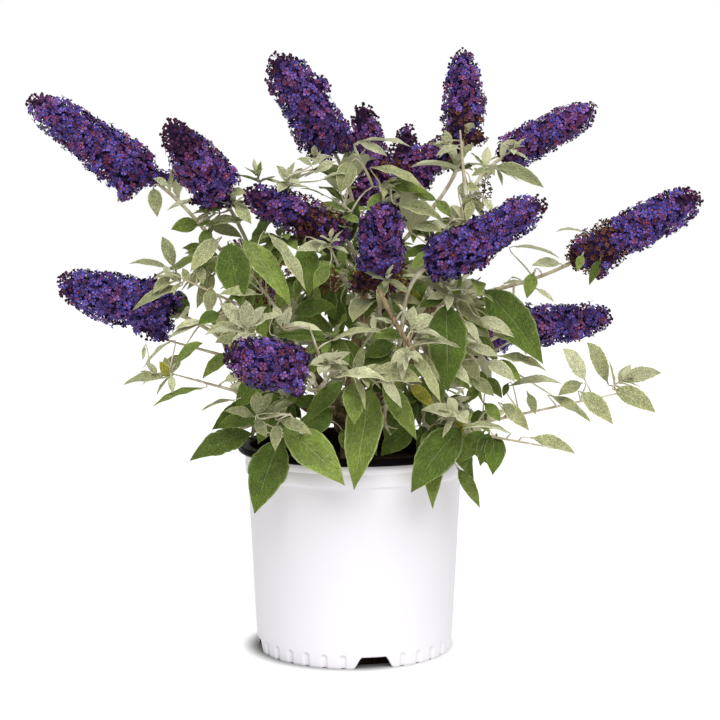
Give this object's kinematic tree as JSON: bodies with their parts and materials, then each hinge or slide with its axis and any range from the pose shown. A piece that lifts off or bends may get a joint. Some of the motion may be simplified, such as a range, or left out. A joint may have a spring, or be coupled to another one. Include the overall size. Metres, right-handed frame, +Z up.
{
  "type": "butterfly bush in a nursery pot",
  "caption": "Potted butterfly bush with long violet flower spires held out on leafy stems, in a round white nursery pot with a black rim.",
  "frame": {"origin": "centre of the flat underside of the pot", "axes": "+Z up along the pot, -Y towards the front of the bush, +X to its right"},
  "size_m": [0.7588, 0.5982, 0.7045],
  "materials": {
    "pot_white": "smooth white outer skin",
    "pot_black": "black inner skin and rolled rim, satin",
    "potting_mix": "dark crumbly peat and bark",
    "bark": "tan, finely furrowed bark",
    "flowering_shoot": "matte violet florets over felted grey-green leaves",
    "leafy_shoot": "matte leaves, deep green low down and silvery at the tips"
  },
  "bodies": {
    "root": {"pot": "pot_white", "pot_lining": "pot_black", "pot_rim": "pot_black", "potting_mix": "potting_mix", "trunk": "bark", "bough_left_high": "bark", "bough_left_low": "bark", "bough_front_left": "bark", "bough_front_right": "bark", "bough_right_high": "bark", "bough_right_low": "bark", "bough_top": "bark", "bough_back_centre": "bark", "bough_back_left": "bark", "bough_back_low": "bark", "bough_back_right": "bark", "spire_left_far": "flowering_shoot", "spire_left_near": "flowering_shoot", "spire_centre_low": "flowering_shoot", "spire_centre_high": "flowering_shoot", "spire_back_dark": "flowering_shoot", "spire_back_slim": "flowering_shoot", "spire_back_leaning": "flowering_shoot", "spire_right_upright": "flowering_shoot", "spire_right_high": "flowering_shoot", "spire_front_centre": "flowering_shoot", "spire_front_right": "flowering_shoot", "spire_right_far": "flowering_shoot", "spire_right_low": "flowering_shoot", "spire_left_low": "flowering_shoot", "spire_front_low": "flowering_shoot", "spire_rear_left": "flowering_shoot", "spire_rear_low": "flowering_shoot", "spire_rear_right": "flowering_shoot", "spire_rear_far": "flowering_shoot", "leafy_right_long": "leafy_shoot", "leafy_right_front": "leafy_shoot", "leafy_right_back": "leafy_shoot", "leafy_left_low": "leafy_shoot", "leafy_left_high": "leafy_shoot", "leafy_front_silver": "leafy_shoot", "leafy_front_rosette": "leafy_shoot", "leafy_front_broad": "leafy_shoot", "leafy_centre_left": "leafy_shoot", "leafy_centre_right": "leafy_shoot", "leafy_centre": "leafy_shoot", "leafy_middle_left": "leafy_shoot", "leafy_middle_right": "leafy_shoot", "skirt_front": "leafy_shoot", "skirt_front_right": "leafy_shoot", "skirt_right": "leafy_shoot", "skirt_front_left": "leafy_shoot", "skirt_left": "leafy_shoot", "leafy_top": "leafy_shoot", "leafy_back_high": "leafy_shoot", "leafy_left_side": "leafy_shoot", "skirt_back": "leafy_shoot", "skirt_back_left": "leafy_shoot", "skirt_back_right": "leafy_shoot", "leafy_right_side": "leafy_shoot"}
  },
  "joints": []
}
